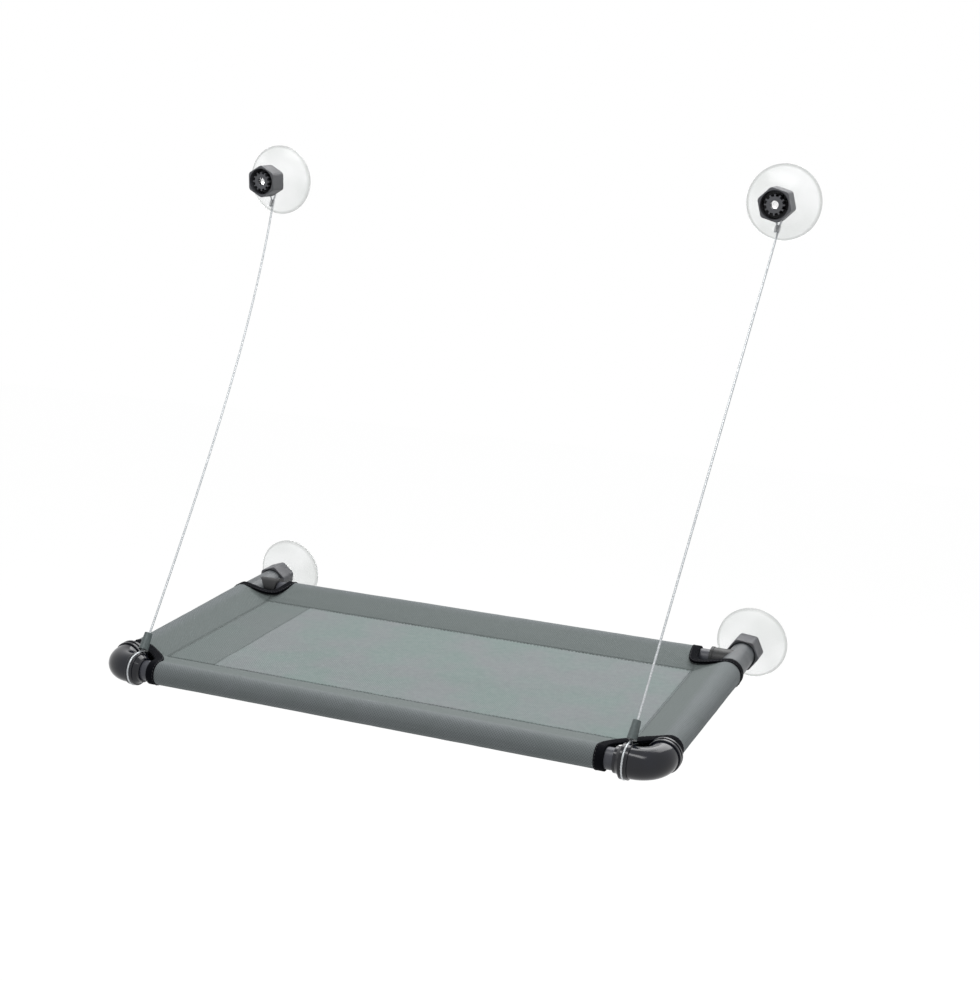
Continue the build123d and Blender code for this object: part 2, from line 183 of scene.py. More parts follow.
# %% Tools for materials
def new_material(name, values):
    """A material with one Principled shader that has these plain values, and the tree that feeds it."""
    made = bpy.data.materials.new(name)
    made.use_nodes = True
    tree = made.node_tree
    tree.nodes.clear()
    shader = add_node(tree, "ShaderNodeBsdfPrincipled", values=values)
    add_node(tree, "ShaderNodeOutputMaterial", links={"Surface": shader.outputs[0]})
    return made, tree, shader


def per(size):
    """The scale of a pattern whose features are this many millimetres apart."""
    return 1 / (size * MM)


def noise_at(tree, place, size, detail=3.0):
    """Soft noise of about this size, from nought to one."""
    made = add_node(tree, "ShaderNodeTexNoise", values={"Scale": per(size), "Detail": detail},
                    links={"Vector": place})
    return made.outputs[0]


def maths(tree, operation, first, second=0.0):
    """One step of arithmetic on numbers or outputs."""
    made = add_node(tree, "ShaderNodeMath", {"operation": operation})
    for socket, source in zip(made.inputs, (first, second)):
        if isinstance(source, (int, float)):
            socket.default_value = source
        else:
            tree.links.new(source, socket)
    return made.outputs[0]


def blended(tree, share, first, second):
    """The first colour where the share is nought and the second where it is one."""
    made = add_node(tree, "ShaderNodeMix", {"data_type": "RGBA"}, links={0: share})
    for socket, colour in ((made.inputs[6], first), (made.inputs[7], second)):
        if isinstance(colour, str):
            socket.default_value = linear(colour)
        else:
            tree.links.new(colour, socket)
    return made.outputs[2]


def ranged(tree, value, low, high, to_low=0.0, to_high=1.0):
    """Stretch one range of values over another and clamp what lies outside."""
    values = {"From Min": low, "From Max": high, "To Min": to_low, "To Max": to_high}
    return add_node(tree, "ShaderNodeMapRange", values=values, links={"Value": value}).outputs[0]


def bumped(tree, shader, height, depth):
    """Raise the surface where the height is one, by this many millimetres."""
    made = add_node(tree, "ShaderNodeBump", values={"Strength": 1.0, "Distance": depth * MM},
                    links={"Height": height})
    tree.links.new(made.outputs[0], shader.inputs["Normal"])


print("tools for materials ready")

# %% [markdown]
# ## Rigid plastics
# Nuts, tees, elbows and pipes are moulded or extruded plastic, each with its own colour and gloss.
# One flat colour would look like paint. Moulded plastic is slightly cloudy, where the melt cooled
# unevenly, it has a grain of under a millimetre from the mould, and handling leaves duller patches.
# One function makes the three from noise, and each plastic brings its two colours and its gloss.

# %% Moulded plastic
cloud_size, grain_size, patch_size = 22.0, 0.8, 9.0
grain_depth = 0.03
leg_dark_and_shade_start = (0.1, 0.4)          # above a tee's round run, where its colour turns to the leg's dark colour with painted shade


def from_axis(tree, place, x, z):
    """Distance of a place from an axis that runs from front to back at this x and height."""
    away = add_node(tree, "ShaderNodeVectorMath", {"operation": "SUBTRACT"}, {1: (x * MM, 0, z * MM)},
                    {0: place})
    flat = add_node(tree, "ShaderNodeVectorMath", {"operation": "MULTIPLY"}, {1: (1, 0, 1)},
                    {0: away.outputs[0]})
    length = add_node(tree, "ShaderNodeVectorMath", {"operation": "LENGTH"}, links={0: flat.outputs[0]})
    return length.outputs["Value"]


def moulded_plastic(name, colour, light_colour, roughness, specular, leg_dark_and_shade=None):
    """Plastic from a mould: a slightly cloudy colour, fine grain and a few duller patches.

    A tee's leg, which is all that stands clear of the run's round body, is also given a colour that is dark
    like the pipe it holds and darker still with painted shade."""
    made, tree, shader = new_material(name, {"Specular IOR Level": specular})
    place = add_node(tree, "ShaderNodeTexCoord").outputs["Object"]
    cloud = ranged(tree, noise_at(tree, place, cloud_size), 0.35, 0.65)
    body = blended(tree, cloud, colour, light_colour)
    # painted shade: the tee's leg, where it stands clear of the run, is coloured darker than the pipe it
    # holds
    if leg_dark_and_shade:
        mirrored = add_node(tree, "ShaderNodeVectorMath", {"operation": "ABSOLUTE"}, links={0: place})
        radius = from_axis(tree, mirrored.outputs[0], side_axis, 0)
        dark_and_shaded_leg = ranged(tree, radius, (tee_radius + leg_dark_and_shade_start[0]) * MM, (tee_radius + leg_dark_and_shade_start[1]) * MM)
        body = blended(tree, dark_and_shaded_leg, body, leg_dark_and_shade)
    tree.links.new(body, shader.inputs["Base Color"])
    dull = ranged(tree, noise_at(tree, place, patch_size), 0.3, 0.7, roughness - 0.04, roughness + 0.06)
    tree.links.new(dull, shader.inputs["Roughness"])
    bumped(tree, shader, noise_at(tree, place, grain_size, 5.0), grain_depth)
    return made


print("moulded plastic ready")

# %% The four rigid plastics
# Glass-filled nylon of the nuts: hard, dark grey and a little rough.
nylon = moulded_plastic("glass filled nylon", "4c4d50", "54555a", 0.48, 0.45)
# Grey rigid PVC of the tees, as on plumbing fittings, with the leg towards the rear rail near black: dark
# like the pipe it holds and darker still with painted shade.
grey_pvc = moulded_plastic("grey rigid PVC", "4e5255", "585c5f", 0.42, 0.4, leg_dark_and_shade="0d0f11")
# Polished black ABS of the front elbows, bluish black and glossy.
polished_abs = moulded_plastic("polished black ABS", "0b0d15", "10131f", 0.14, 0.4)
# Dark rigid PVC pipe with a satin gloss.
pipe_pvc = moulded_plastic("dark PVC pipe", "3a3c43", "44464e", 0.36, 0.42)
print("rigid plastics made:", nylon.name, grey_pvc.name, polished_abs.name, pipe_pvc.name)

# %% [markdown]
# ## Clear vinyl
# The suction cups are moulded in clear soft vinyl. Perfectly clear cups would vanish in front of
# white. Real ones stay visible because the skirt is a little milky and the thick round rim refracts
# the dark surroundings into a grey line, which is painted here as a grey band in the colour. Most
# light therefore passes through, and the tint depends on the distance from the cup's axis, so each
# cup has its own copy of the material with that axis in it.

# %% Clear vinyl of the cups
rim_refraction_width = 3.4           # of the painted grey band along the rim, where the rim refracts the dark surroundings
post_radius = 4.2              # of the threaded post, which is a solid bar and so stays clear
post_edge = 0.8
skirt_cloud_size = 45.0        # of the milky patches in the skirt


def clear_vinyl(name, axis_x, axis_z):
    """Clear soft vinyl of a suction cup: nearly white, with a painted grey band for the dark refraction in
    the thick round rim.
    """
    values = {"Roughness": 0.18, "IOR": 1.3, "Transmission Weight": 0.9, "Specular IOR Level": 0.3}
    made, tree, shader = new_material(name, values)
    place = add_node(tree, "ShaderNodeTexCoord").outputs["Object"]
    radius = from_axis(tree, place, axis_x, axis_z)
    rim_refraction = ranged(tree, radius, (cup_radius - rim_refraction_width) * MM, (cup_radius - rim_refraction_width / 2) * MM)
    past_post = ranged(tree, radius, post_radius * MM, (post_radius + post_edge) * MM)
    cloud = ranged(tree, noise_at(tree, place, skirt_cloud_size, 1.0), 0.35, 0.65)
    skirt = blended(tree, cloud, "eff1f0", "feffff")
    skirt = blended(tree, past_post, "ffffff", skirt)
    # painted reflection: the grey band along the rim stands in for the dark surroundings refracted in it
    tree.links.new(blended(tree, rim_refraction, skirt, "d8dad9"), shader.inputs["Base Color"])
    return made


print("vinyl ready for cups of", round(2 * cup_radius, 1), "mm")

# %% [markdown]
# ## Metals
# The cables are galvanised steel wire. The upper ferrules are bare aluminium and the lower ones are
# lacquered grey. Smooth metal would mirror the white studio and look like chrome. Drawn and pressed
# metal is covered in small bright and dull specks, so noise of that size moves its colour and its
# roughness together.

# %% Drawn and pressed metal
speck_depth = 0.02
gloss_swing = 0.08             # how far specks move the roughness either way


def drawn_metal(name, colour, light_colour, roughness, metallic, speck_size):
    """Metal that was drawn or pressed: fine bright and dull specks, and a soft reflection."""
    made, tree, shader = new_material(name, {"Metallic": metallic})
    place = add_node(tree, "ShaderNodeTexCoord").outputs["Object"]
    speck = ranged(tree, noise_at(tree, place, speck_size, 4.0), 0.3, 0.7)
    tree.links.new(blended(tree, speck, colour, light_colour), shader.inputs["Base Color"])
    gloss = ranged(tree, speck, 0.0, 1.0, roughness + gloss_swing, roughness - gloss_swing)
    tree.links.new(gloss, shader.inputs["Roughness"])
    bumped(tree, shader, speck, speck_depth)
    return made


# Galvanised steel wire rope, bright where the outer strands catch the light.
steel_wire = drawn_metal("galvanised steel wire", "a4a8ab", "d0d3d5", 0.38, 0.75, 1.6)
# Thin aluminium ferrule at the upper end, pressed round both strands.
bright_ferrule = drawn_metal("pressed aluminium", "c6c8ca", "e0e2e3", 0.4, 0.4, 2.2)
# Grey lacquered ferrule at the lower end, duller and darker.
grey_ferrule = drawn_metal("lacquered aluminium", "4f5858", "5d6767", 0.46, 0.15, 3.0)
print("metals made:", steel_wire.name, bright_ferrule.name, grey_ferrule.name)

# %% [markdown]
# ## Cloth, tape and thread
# The bed is mesh cloth: coated polyester threads that cross on the bias, with small holes between
# them. Holes as geometry would take millions of faces. Two waves at right angles give the height of
# the threads and the places of the holes instead. The cloth also carries a share of what lies behind
# it, nought for air, about a third for a second layer and one for a pipe, and darkens with it,
# because less light comes through from behind.

# %% Mesh cloth
weave_pitch = 1.9              # real threads are nearer 1.2 mm apart, drawn wider so that they show
weave_depth = 0.22
dye_patch_size, mottle_size, fibre_size = 70.0, 26.0, 6.0
fibre_share = 0.35             # of the paler loose fibres in the colour of a thread
open_hole, piped_hole = 0.16, 0.5      # how dark the holes look over air and over a pipe


def thread_wave(tree, place, direction, pitch):
    """Nought on the threads that run across this direction and one half way between them."""
    along = add_node(tree, "ShaderNodeVectorMath", {"operation": "DOT_PRODUCT"},
                     {1: [c * pi * per(pitch) for c in direction]}, {0: place})
    return maths(tree, "ABSOLUTE", maths(tree, "SINE", along.outputs["Value"]))


def mesh_cloth_material():
    """Polyester mesh cloth: crossed threads on the bias, with small holes that show what is behind."""
    values = {"Roughness": 0.72, "Specular IOR Level": 0.25, "Sheen Weight": 0.05}
    made, tree, shader = new_material("polyester mesh cloth", values)
    place = add_node(tree, "ShaderNodeUVMap", {"uv_map": "weave"}).outputs[0]
    solid = add_node(tree, "ShaderNodeTexCoord").outputs["Object"]
    behind = add_node(tree, "ShaderNodeAttribute", {"attribute_name": "pipe_behind"}).outputs["Fac"]
    first = thread_wave(tree, place, (0.707, 0.707, 0), weave_pitch)
    second = thread_wave(tree, place, (0.707, -0.707, 0), weave_pitch)
    hole = maths(tree, "MULTIPLY", first, second)
    patch = ranged(tree, noise_at(tree, solid, dye_patch_size), 0.4, 0.6)
    thread = blended(tree, patch, "7c8b88", "84898b")
    fine = ranged(tree, noise_at(tree, solid, fibre_size, 4.0), 0.3, 0.7)
    thread = blended(tree, maths(tree, "MULTIPLY", fine, fibre_share), thread, "939c9b")
    doubled = blended(tree, ranged(tree, behind, 0.0, 0.35), thread, "6c7473")
    mottle = ranged(tree, noise_at(tree, solid, mottle_size), 0.35, 0.65, 0.55, 1.0)
    over_pipe = maths(tree, "MULTIPLY", ranged(tree, behind, 0.35, 1.0), mottle)
    doubled = blended(tree, over_pipe, doubled, "7b8183")
    hole_share = maths(tree, "MULTIPLY", ranged(tree, hole, 0.25, 0.9),
                       ranged(tree, over_pipe, 0.0, 1.0, open_hole, piped_hole))
    tree.links.new(blended(tree, hole_share, doubled, "3b3f42"), shader.inputs["Base Color"])
    bumped(tree, shader, maths(tree, "SUBTRACT", 1.0, hole), weave_depth)
    return made


mesh_cloth = mesh_cloth_material()
print("cloth with a thread every", weave_pitch, "mm")

# %% Tape and sewing thread
rib_pitch, warp_pitch = 1.1, 0.7       # across and along the tape
rib_depth, raised_patch_size = 0.18, 12.0
ply_size, ply_depth = 0.6, 0.05


def tape_material():
    """Black woven tape: fine ribs across its length, and its raised threads lighter than the grooves between
    them, in patches.
    """
    values = {"Roughness": 0.8, "Specular IOR Level": 0.04}
    made, tree, shader = new_material("black woven polyester tape", values)
    place = add_node(tree, "ShaderNodeUVMap", {"uv_map": "weave"}).outputs[0]
    rib = thread_wave(tree, place, (1, 0, 0), rib_pitch)
    cross = thread_wave(tree, place, (0, 1, 0), warp_pitch)
    height = maths(tree, "MULTIPLY", rib, ranged(tree, cross, 0.0, 1.0, 0.6, 1.0))
    raised_patches = ranged(tree, noise_at(tree, place, raised_patch_size), 0.3, 0.7, 0.5, 1.0)
    raised_tone = maths(tree, "MULTIPLY", height, raised_patches)
    # the raised threads are coloured lighter than the grooves between them, in patches
    tree.links.new(blended(tree, raised_tone, "090a0e", "14151a"), shader.inputs["Base Color"])
    bumped(tree, shader, height, rib_depth)
    return made


def thread_material(name, colour, light_colour):
    """Spun polyester sewing thread, with the two plies just showing."""
    made, tree, shader = new_material(name, {"Roughness": 0.6})
    place = add_node(tree, "ShaderNodeTexCoord").outputs["Object"]
    ply = noise_at(tree, place, ply_size, 2.0)
    tree.links.new(blended(tree, ply, colour, light_colour), shader.inputs["Base Color"])
    bumped(tree, shader, ply, ply_depth)
    return made


woven_tape = tape_material()
grey_thread = thread_material("grey sewing thread", "565c5c", "727979")
black_thread = thread_material("black sewing thread", "17181b", "2b2d31")
print("tape and thread made:", woven_tape.name, grey_thread.name, black_thread.name)

# %% [markdown]
# ## Cables
# A cable is one wire from end to end. It is looped round the neck of an upper cup, comes back
# through a small ferrule, runs down to the bed, goes through a larger ferrule, and is looped
# again in the collar of an elbow. Its line is a smooth spline whose control points are the route
# that the frame was built with, so the loops lie in their grooves. Only the slack part of the left
# cable hangs a little deeper than its solid, as in the photograph.

# %% Route of a cable
cable_diameter = 2.2
strand_offset = 1.3            # of each strand from the middle of its ferrule
loop_corner_count = 8
upper_loop_radius = 8.45       # round the neck of a cup
upper_loop_plane = -19.4       # this far in front of the glass
upper_entry_drop = 20.6        # from the cup's axis down to where both strands meet
lower_loop_radius = 15.35      # in the collar of an elbow
lower_entry_distance = 17.8    # from the rail's axis up to where both strands meet
collar_station = 26.0          # of the collar, inwards from the axis of the side rail
left_cable_bow = 21.5          # 6 mm deeper than the solid cable's, as the photograph shows it
left_cable_bow_shares = [
    (0.09, 0.44), (0.19, 0.77), (0.30, 0.96), (0.41, 1.0), (0.53, 0.93), (0.65, 0.77), (0.77, 0.54),
    (0.89, 0.27),
]
entry_lead = 3.0               # a point this near a tight turn, on each side, holds the spline to it
ferrule_lead = 13.0            # a point this far along the straight wire keeps it straight
upper_dead_length = 8.5        # the cut end of the wire stops level with the end of its ferrule
lower_dead_length = 19.6


def loop_corners(middle, way, across, radius, entry_distance):
    """Corner points that take a strand round a circle, from the side that across points to."""
    tangent_angle = acos(radius / entry_distance)
    step = 2 * (pi - tangent_angle) / loop_corner_count
    corner_radius = radius / cos(step / 2)
    angles = [tangent_angle + (i + 1 / 2) * step for i in range(loop_corner_count)]
    return [middle + way * (corner_radius * cos(a)) + across * (corner_radius * sin(a)) for a in angles]


def bowed_points(start, end):
    """Points of the slack left cable, off the straight line in the upright plane through both ends."""
    chord = end - start
    sag_way = chord.cross(chord.cross(Vector((0, 0, 1)))).normalized()
    if sag_way.z > 0:
        sag_way.negate()
    return [start + chord * along + sag_way * (left_cable_bow * depth)
            for along, depth in left_cable_bow_shares]


def near(point, towards, distance):
    """The point this far from one point towards another."""
    return point + (towards - point).normalized() * distance


def cable_route(side):
    """Control points of one cable, from its cut end in the upper ferrule to the one in the lower."""
    x_way = Vector((1, 0, 0))
    neck = Vector((side * upper_cup_x, upper_loop_plane, upper_cup_z))
    collar = Vector((side * (side_axis - collar_station), front_axis, 0))
    rise = neck - collar
    lower_way = Vector((0, rise.y, rise.z)).normalized()
    lower_across = lower_way.cross(x_way).normalized()
    upper_way = Vector((0, 0, -1))
    upper_live = neck + upper_way * upper_entry_drop + x_way * strand_offset
    lower_live = collar + lower_way * lower_entry_distance + lower_across * strand_offset
    free_points = bowed_points(upper_live, lower_live) if side < 0 else []
    run = [upper_live] + free_points + [lower_live]
    down = (run[1] - run[0]).normalized()
    up = (run[-2] - run[-1]).normalized()
    upper_corners = loop_corners(neck, upper_way, x_way, upper_loop_radius, upper_entry_drop)[::-1]
    lower_corners = loop_corners(collar, lower_way, lower_across, lower_loop_radius, lower_entry_distance)
    upper_dead = upper_live - x_way * (2 * strand_offset)
    lower_dead = lower_live - lower_across * (2 * strand_offset)
    upper_end = upper_dead + down * upper_dead_length
    lower_end = lower_dead + up * lower_dead_length
    route = [upper_end, near(upper_dead, upper_end, entry_lead), upper_dead,
             near(upper_dead, upper_corners[0], entry_lead)] + upper_corners
    route += [near(upper_live, upper_corners[-1], entry_lead), upper_live,
              near(upper_live, run[1], entry_lead), near(upper_live, run[1], ferrule_lead)]
    route += free_points
    route += [near(lower_live, run[-2], 2 * ferrule_lead), near(lower_live, run[-2], entry_lead), lower_live]
    route += lower_corners + [lower_dead, near(lower_dead, lower_end, entry_lead), lower_end]
    return route


routes = {name: cable_route(side) for name, side in SIDES.items()}
print("control points of each cable:", {name: len(route) for name, route in routes.items()})

# %% [markdown]
# ## Wire rope
# A round tube would look like plastic cord. Real wire rope has outer strands that wind round its
# core, so the section here is a ring of six lobes that turns slowly on its way. It follows the
# spline's own points, as Blender evaluates a NURBS curve of order 3, and a frame that is carried
# from point to point keeps the section from spinning by itself.

# %% Line of a wire
strand_count = 6
strand_lay_length = 15.0       # length of one full twist of the strands
ring_point_count = 24
ring_spacing = 0.9
lobe_depth_share = 0.13


def spline_points(name, route):
    """Points along the NURBS spline through these control points, in millimetres."""
    curve = bpy.data.curves.new(name + "_line", "CURVE")
    curve.dimensions = "3D"
    spline = curve.splines.new("NURBS")
    spline.points.add(len(route) - 1)
    for point, place in zip(spline.points, route):
        point.co = (*(place * MM), 1)
    spline.order_u = 3
    spline.use_endpoint_u = True
    spline.resolution_u = 24
    holder = add_object(name + "_line", curve)
    line = bpy.data.meshes.new_from_object(holder.evaluated_get(bpy.context.evaluated_depsgraph_get()))
    points = [v.co / MM for v in line.vertices]
    bpy.data.objects.remove(holder)
    return points


def walked(places):
    """How far along the line each of its points is."""
    return np.concatenate([[0], np.cumsum(np.linalg.norm(np.diff(places, axis=0), axis=1))])


def evenly(points, spacing):
    """Walk along a line and return points that are this far apart, and the line's length."""
    places = np.array([tuple(p) for p in points])
    lengths = walked(places)
    stations = np.linspace(0, lengths[-1], max(2, round(lengths[-1] / spacing)))
    return [Vector([np.interp(s, lengths, places[:, k]) for k in range(3)]) for s in stations], lengths[-1]


def carried_frames(line):
    """A pair of directions across the line at each point, carried along without twisting."""
    frames = []
    side_way = None
    for i, here in enumerate(line):
        tangent = (line[min(i + 1, len(line) - 1)] - line[max(i - 1, 0)]).normalized()
        if side_way is None:
            side_way = tangent.orthogonal()
        side_way = (side_way - tangent * side_way.dot(tangent)).normalized()
        frames.append((side_way.copy(), tangent.cross(side_way)))
    return frames


print("a strand turns once in", strand_lay_length, "mm")

# %% Wire rope
def wire_rope(name, route):
    """A rope of twisted strands along a route, with its line and its length."""
    line, length = evenly(spline_points(name, route), ring_spacing)
    points = []
    for i, (here, (a, b)) in enumerate(zip(line, carried_frames(line))):
        twist = 2 * pi * i * ring_spacing / strand_lay_length
        for j in range(ring_point_count):
            angle = 2 * pi * j / ring_point_count
            lobe = abs(cos((angle * strand_count) / 2))
            radius = cable_diameter / 2 * (1 - lobe_depth_share * (1 - lobe))
            points.append(here + a * (radius * cos(angle + twist)) + b * (radius * sin(angle + twist)))
    faces = grid_faces(len(line), ring_point_count, wrap=True)
    faces.append(list(range(ring_point_count)))
    faces.append(list(range(len(points) - ring_point_count, len(points)))[::-1])
    made = mesh_object(name, points, faces)
    merge_points(made, touching, turn_out=True)
    return made, line, length


for name, side in SIDES.items():
    rope, line, length = wire_rope(f"{name}_wire_rope", routes[name])
    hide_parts(f"{name}_cable")
    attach(rope, "bed_frame")
    rope.data.materials.append(steel_wire)
    print(name, "cable", round(length, 1), "mm")

# %% [markdown]
# ## Light and stage
# The photograph is cut out on white, so the world is white to the camera and in reflections, and
# lights the object with a weaker even light. A large soft lamp above and behind makes the tops
# bright and leaves what faces the camera darker, as a window would. A narrow one above the front
# edge gives the polished elbows their long highlight. The floor is far below and glows white to the
# camera, so no horizon shows, but it is an ordinary matt floor to the light that falls on it.

# %% World
ambient_strength = 0.45


def seen_directly(tree):
    """One for rays from the camera, in a reflection or through clear plastic, else nought."""
    ray = add_node(tree, "ShaderNodeLightPath").outputs
    seen = maths(tree, "MAXIMUM", ray["Is Camera Ray"], ray["Is Glossy Ray"])
    return maths(tree, "MAXIMUM", seen, ray["Is Transmission Ray"])


world = bpy.data.worlds.new("studio")
bpy.context.scene.world = world
world.use_nodes = True
tree = world.node_tree
tree.nodes.clear()
strength = ranged(tree, seen_directly(tree), 0.0, 1.0, ambient_strength, 1.0)
shade = add_node(tree, "ShaderNodeBackground", values={"Color": linear("ffffff")},
                 links={"Strength": strength})
add_node(tree, "ShaderNodeOutputWorld", links={"Surface": shade.outputs[0]})
bpy.context.scene.view_settings.view_transform = "Standard"
print("even light of strength", ambient_strength)

# %% Lamps
def soft_lamp(name, place, target, size, watts):
    """A rectangular lamp that faces its target; places and sizes are in millimetres."""
    data = bpy.data.lights.new(name, "AREA")
    data.shape = "RECTANGLE"
    data.size = size[0] * MM
    data.size_y = size[1] * MM
    data.energy = watts
    lamp = add_object(name, data)
    aim = (Vector(target) - Vector(place)).to_track_quat("-Z", "Y").to_matrix().to_4x4()
    lamp.matrix_world = Matrix.Translation(Vector(place) * MM) @ aim


soft_lamp("key", place=(150, 1080, 1250), target=(0, -200, 0), size=(1700, 1200), watts=23)
soft_lamp("fill", place=(60, -660, 1300), target=(200, -300, 0), size=(1300, 280), watts=7.2)
print("lamps ready:", sorted(light.name for light in bpy.data.lights))

# %% Floor
floor_drop = 900.0
floor_size = 9000.0
floor_glow = 0.93

floor_white = bpy.data.materials.new("painted studio floor")
floor_white.use_nodes = True
tree = floor_white.node_tree
tree.nodes.clear()
matt = add_node(tree, "ShaderNodeBsdfDiffuse", values={"Color": linear("f4f4f4")})
faint = add_node(tree, "ShaderNodeBsdfDiffuse", values={"Color": linear("6a6a6a")})
glow = add_node(tree, "ShaderNodeEmission", values={"Color": linear("ffffff"), "Strength": floor_glow})
white = add_node(tree, "ShaderNodeAddShader", links={0: faint.outputs[0], 1: glow.outputs[0]})
both = add_node(tree, "ShaderNodeMixShader",
                links={0: seen_directly(tree), 1: matt.outputs[0], 2: white.outputs[0]})
add_node(tree, "ShaderNodeOutputMaterial", links={"Surface": both.outputs[0]})
half = floor_size / 2
floor_corners = [(x, y, -floor_drop) for x, y in ((-half, -half), (half, -half), (half, half), (-half, half))]
floor = mesh_object("floor", floor_corners, [(0, 1, 2, 3)], smooth=False)
floor.data.materials.append(floor_white)
print("floor", floor_drop, "mm below the bed")

# %% [markdown]
# ## The bed's cloth
# The bed is one kind of mesh cloth, cut with a notch at each corner. Each edge is folded round
# its rail and sewn back to the panel from below, so a rail runs in a sleeve. Cloth that is pulled
# tight leaves the seam in a straight line, touches the pipe and follows it round. A section made
# of those two lines and an arc is therefore true to life, and sweeping it along the rail is far
# quicker than a cloth simulation, which would only find the same taut shape.

# %% Plan of the bed
front_seam_y = -304.0
rear_seam_y = -110.0
side_seam_x = 246.5
front_end_x = 235.0            # ends of the sleeves, at the outer edge of the black tape
rear_end_x = 242.1
side_end_front_y = -307.2
side_end_rear_y = -98.3
print("panel", 2 * side_seam_x, "by", rear_seam_y - front_seam_y, "mm between its seams")

# %% Section of a sleeve
cloth_thickness = 0.9
sleeve_radius = 10.75          # middle of the cloth where it lies on a pipe
line_steps = 14                # along each straight part
arc_steps = 30                 # round the pipe


def sleeve_section(start, radius, toward_seam, station_point):
    """Points from the seam over the pipe and back under: start is the seam point above."""
    away = Vector(start) - station_point
    across, up = away.dot(toward_seam), away.z
    reach = sqrt(across ** 2 + up ** 2)
    touch = atan2(up, across) + acos(radius / reach)
    lower_up = up - cloth_thickness
    lower_reach = sqrt(across ** 2 + lower_up ** 2)
    leave = 2 * pi + atan2(lower_up, across) - acos(radius / lower_reach)

    def on_pipe(angle):
        return station_point + toward_seam * (radius * cos(angle)) + Vector((0, 0, radius * sin(angle)))

    first, last = on_pipe(touch), on_pipe(leave)
    below = Vector(start) - Vector((0, 0, cloth_thickness))
    points = [Vector(start).lerp(first, i / line_steps) for i in range(line_steps)]
    points += [on_pipe(touch + (leave - touch) * i / arc_steps) for i in range(arc_steps)]
    points += [last.lerp(below, i / line_steps) for i in range(line_steps + 1)]
    return points


def steps(start, end, size):
    """Values from start to end, about this far apart."""
    count = max(1, round(abs(end - start) / size))
    return [start + (end - start) * i / count for i in range(count + 1)]


def smooth_share(value, start, end):
    """Nought before the start, one past the end, and a smooth rise between them."""
    t = min(1.0, max(0.0, (value - start) / (end - start)))
    return t * t * (3 - 2 * t)


round_rail = 2 * (pi - acos(sleeve_radius / (front_seam_y - front_axis)))
print("front sleeve goes round", round(round_rail * 180 / pi), "degrees of its rail")

# %% [markdown]
# ## Waves, puckers and folds
# Taut cloth still isn't flat. It has long low waves where the threads pull unevenly, small
# puckers along each seam, and folds that run out of the cut corners. All three are shallow shifts
# of the surface, made from Blender's own noise at fixed places in it, so each run is the same.

# %% Unevenness of taut cloth
wave_size, wave_depth, wave_seed = 85.0, 1.4, Vector((2, 5, 0))            # of the open panel
ripple_size, ripple_depth, ripple_seed = 24.0, 0.45, 4
ripple_stretch = 2.2                                                        # from side to side
level_reach = 35.2                                                          # where waves fade to a seam
pucker_size, pucker_depth, pucker_seed = 9.0, 0.35, (0.5, 9)               # of the cloth along a seam
pucker_start, pucker_reach = 2.0, 9.0
sleeve_wave_size, sleeve_wave_depth = 60.0, 0.35
sleeve_ripple_size, sleeve_ripple_depth, sleeve_ripple_seed = 17.0, 0.3, Vector((7, 3, 1))
fold_count, fold_depth = 9, 0.54                                            # in a full turn round a corner
fold_start, fold_full, fold_reach = 2.0, 10.0, 42.0                        # from the corner
fold_wander, fold_wander_size = 2.0, 30.0
corner_points = [Vector((s * x, y, 0)) for s in (-1, 1)
                 for x, y in ((front_end_x, side_end_front_y), (rear_end_x, side_end_rear_y))]


def unevenness(point):
    """Outward shift of a sleeve at a point, never below nought, so it stays off the pipes."""
    wave = 0.5 + 0.5 * noise.noise(point / sleeve_wave_size)
    ripple = 0.5 + 0.5 * noise.noise(point / sleeve_ripple_size + sleeve_ripple_seed)
    shift = sleeve_wave_depth * wave + sleeve_ripple_depth * ripple * ripple
    for corner in corner_points:
        away = Vector((point.x - corner.x, point.y - corner.y))
        if away.length < fold_reach:
            wander = fold_wander * noise.noise(point / fold_wander_size)
            ridge = max(0.0, cos(fold_count * atan2(away.y, away.x) + wander)) ** 2
            fade = 1 - smooth_share(away.length, fold_full, fold_reach)
            shift += fold_depth * ridge * smooth_share(away.length, fold_start, fold_full) * fade
    return shift


def panel_height(x, y):
    """Height of the bed's open panel, level at the seams."""
    to_side, to_front, to_rear = side_seam_x - abs(x), y - front_seam_y, rear_seam_y - y
    inward = min(to_side, to_front, to_rear)
    wave = noise.noise(Vector((x, y, 0)) / wave_size + wave_seed)
    ripple = noise.noise(Vector((x / (ripple_stretch * ripple_size), y / ripple_size, ripple_seed)))
    height = smooth_share(inward, 0.0, level_reach) * (wave_depth * wave + ripple_depth * ripple)
    pucker_end = pucker_start + pucker_reach
    near_seam = smooth_share(inward, 0.0, pucker_start) * (1 - smooth_share(inward, pucker_start, pucker_end))
    along = x if min(to_front, to_rear) < to_side else y
    return height + near_seam * pucker_depth * noise.noise(Vector((along / pucker_size, *pucker_seed)))


middle_y = (front_seam_y + rear_seam_y) / 2
print("height at the middle of the panel", round(panel_height(0, middle_y), 3), "mm")

# %% Tools for cloth
weld_distance = 0.02
level_height, raised_height = 0.4, 3.0         # a sleeve is level at its seam and uneven above it


def store_weave(mesh, weave):
    """Keep each point's place in the weave as the UV map that the threads' pattern reads."""
    uv = mesh.uv_layers.new(name="weave")
    corners = [weave[loop.vertex_index] for loop in mesh.loops]
    uv.data.foreach_set("uv", [c * MM for corner in corners for c in corner])


